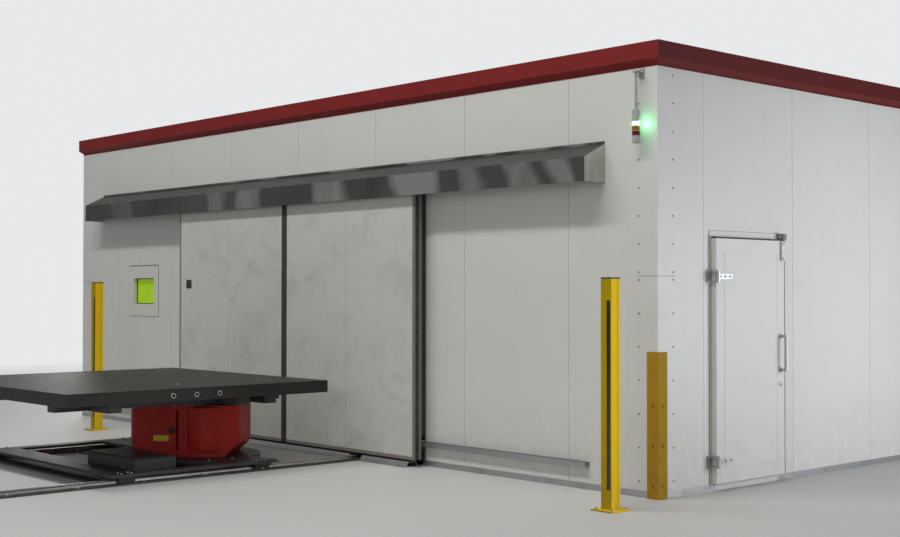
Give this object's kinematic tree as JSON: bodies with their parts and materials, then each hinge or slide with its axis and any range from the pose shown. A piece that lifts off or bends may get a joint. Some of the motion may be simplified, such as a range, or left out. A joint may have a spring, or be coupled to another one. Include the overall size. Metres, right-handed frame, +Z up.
{
  "type": "fiber laser welding cell",
  "caption": "Walk-in laser welding cell of insulated panels with sliding loading doors, a shuttle welding table on floor rails, a service door, light-curtain columns and a six-axis welding arm.",
  "frame": {"origin": "centre of the loading doorway on the floor, in the outer plane of the front wall", "axes": "+X right along the front wall seen from outside, +Y into the cell, +Z up"},
  "size_m": [9.345, 9.745, 3.435],
  "materials": {
    "wall_panel": "satin off-white coat",
    "door_panel": "satin off-white coat, scuffed",
    "red_fascia": "satin red coat",
    "hood_steel": "brushed stainless sheet",
    "frame_grey": "satin grey coat",
    "zinc_steel": "plain zinc-coated steel",
    "dark_steel": "satin black coat",
    "rail_steel": "ground steel",
    "seal_rubber": "matt black rubber",
    "safety_yellow": "gloss yellow coat",
    "guard_ochre": "worn ochre coat",
    "optic_black": "gloss black cover",
    "pane_green": "laser-safe tinted pane",
    "lens_green": "lit translucent lens",
    "lens_amber": "translucent lens",
    "lens_red": "translucent lens",
    "beacon_grey": "matt grey plastic",
    "table_steel": "machined dark steel plate",
    "pedestal_red": "satin red coat, dusty",
    "robot_white": "satin light grey coat",
    "head_metal": "anodised aluminium",
    "nozzle_brass": "turned brass"
  },
  "bodies": {
    "cell": {"beacon_bracket": "beacon_grey", "beacon_housing": "beacon_grey", "beacon_lens_amber": "lens_amber", "beacon_lens_green": "lens_green", "beacon_lens_red": "lens_red", "bottom_guide_rails": "zinc_steel", "corner_guard": "guard_ochre", "corner_trims": "wall_panel", "curtain_columns": "safety_yellow", "curtain_optics": "optic_black", "door_hood": "hood_steel", "door_interlock": "frame_grey", "door_track": "zinc_steel", "doorway_seals": "seal_rubber", "doorway_trim": "zinc_steel", "front_wall_panels": "wall_panel", "left_wall_panels": "wall_panel", "rear_wall_panels": "wall_panel", "right_wall_panels": "wall_panel", "robot_base": "robot_white", "robot_riser": "dark_steel", "roof_fascia": "red_fascia", "roof_joists": "zinc_steel", "roof_panels": "wall_panel", "service_door_frame": "wall_panel", "service_door_hinges": "zinc_steel", "shuttle_end_stops": "dark_steel", "shuttle_rails": "rail_steel", "shuttle_track_bed": "dark_steel", "sill_channels": "zinc_steel", "threshold_sill": "zinc_steel", "window_frame": "wall_panel", "window_glass": "pane_green"},
    "door_left": {"door_panels_left": "door_panel", "door_frame_left": "frame_grey", "door_seals_left": "seal_rubber", "door_hangers_left": "zinc_steel"},
    "door_right": {"door_panels_right": "door_panel", "door_frame_right": "frame_grey", "door_seals_right": "seal_rubber", "door_hangers_right": "zinc_steel"},
    "wheel_left_inner": {"door_wheel_left_inner": "rail_steel"},
    "wheel_left_outer": {"door_wheel_left_outer": "rail_steel"},
    "wheel_right_inner": {"door_wheel_right_inner": "rail_steel"},
    "wheel_right_outer": {"door_wheel_right_outer": "rail_steel"},
    "service_door": {"service_door_leaf": "wall_panel", "service_door_hardware": "zinc_steel"},
    "shuttle": {"shuttle_carriage": "dark_steel", "drive_cover": "dark_steel", "pedestal_body": "pedestal_red", "pedestal_flange": "dark_steel", "table_frame": "dark_steel", "welding_table": "table_steel"},
    "robot_turret": {"robot_turret": "robot_white"},
    "robot_lower_arm": {"robot_lower_arm": "robot_white"},
    "robot_elbow": {"robot_elbow": "robot_white"},
    "robot_forearm": {"robot_forearm": "robot_white"},
    "robot_wrist": {"robot_wrist": "robot_white"},
    "welding_head": {"laser_head": "head_metal", "laser_nozzle": "nozzle_brass"}
  },
  "joints": [
    {"name": "door_left_slide", "type": "slide", "parent": "cell", "child": "door_left", "axis": [-1, 0, 0], "range_m": [0, 1.9]},
    {"name": "door_right_slide", "type": "slide", "parent": "cell", "child": "door_right", "axis": [1, 0, 0], "range_m": [0, 1.9]},
    {"name": "wheel_left_inner_spin", "type": "hinge", "parent": "door_left", "child": "wheel_left_inner", "pos_m": [-0.33, -0.1275, 2.562], "axis": [0, 1, 0], "continuous": true},
    {"name": "wheel_left_outer_spin", "type": "hinge", "parent": "door_left", "child": "wheel_left_outer", "pos_m": [-1.645, -0.1275, 2.562], "axis": [0, 1, 0], "continuous": true},
    {"name": "wheel_right_inner_spin", "type": "hinge", "parent": "door_right", "child": "wheel_right_inner", "pos_m": [0.33, -0.1275, 2.562], "axis": [0, 1, 0], "continuous": true},
    {"name": "wheel_right_outer_spin", "type": "hinge", "parent": "door_right", "child": "wheel_right_outer", "pos_m": [1.645, -0.1275, 2.562], "axis": [0, 1, 0], "continuous": true},
    {"name": "service_door_hinge", "type": "hinge", "parent": "cell", "child": "service_door", "pos_m": [4.64, 0.64, 0.952], "axis": [0, 0, -1], "range_deg": [0, 110]},
    {"name": "shuttle_slide", "type": "slide", "parent": "cell", "child": "shuttle", "axis": [0, 1, 0], "range_m": [-0.35, 0.35]},
    {"name": "robot_swing", "type": "hinge", "parent": "cell", "child": "robot_turret", "pos_m": [0, 4.7, 0.6], "axis": [0, 0, 1], "range_deg": [-120, 120]},
    {"name": "robot_shoulder", "type": "hinge", "parent": "robot_turret", "child": "robot_lower_arm", "pos_m": [0, 4.55, 0.925], "axis": [1, 0, 0], "range_deg": [-45, 55]},
    {"name": "robot_elbow_joint", "type": "hinge", "parent": "robot_lower_arm", "child": "robot_elbow", "pos_m": [0, 4.55, 1.715], "axis": [1, 0, 0], "range_deg": [-80, 50]},
    {"name": "robot_forearm_roll", "type": "hinge", "parent": "robot_elbow", "child": "robot_forearm", "pos_m": [0, 4.37, 1.93], "axis": [0, -1, 0], "range_deg": [-170, 170]},
    {"name": "robot_wrist_bend", "type": "hinge", "parent": "robot_forearm", "child": "robot_wrist", "pos_m": [0, 3.715, 1.93], "axis": [1, 0, 0], "range_deg": [-110, 25]},
    {"name": "head_roll", "type": "hinge", "parent": "robot_wrist", "child": "welding_head", "pos_m": [0, 3.715, 1.83], "axis": [0, 0, -1], "range_deg": [-180, 180]}
  ],
  "couplings": [
    {"joint": "wheel_left_inner_spin", "follows": "door_left_slide", "rad_per_m": -25.641},
    {"joint": "wheel_left_outer_spin", "follows": "door_left_slide", "rad_per_m": -25.641},
    {"joint": "wheel_right_inner_spin", "follows": "door_right_slide", "rad_per_m": 25.641},
    {"joint": "wheel_right_outer_spin", "follows": "door_right_slide", "rad_per_m": 25.641}
  ]
}
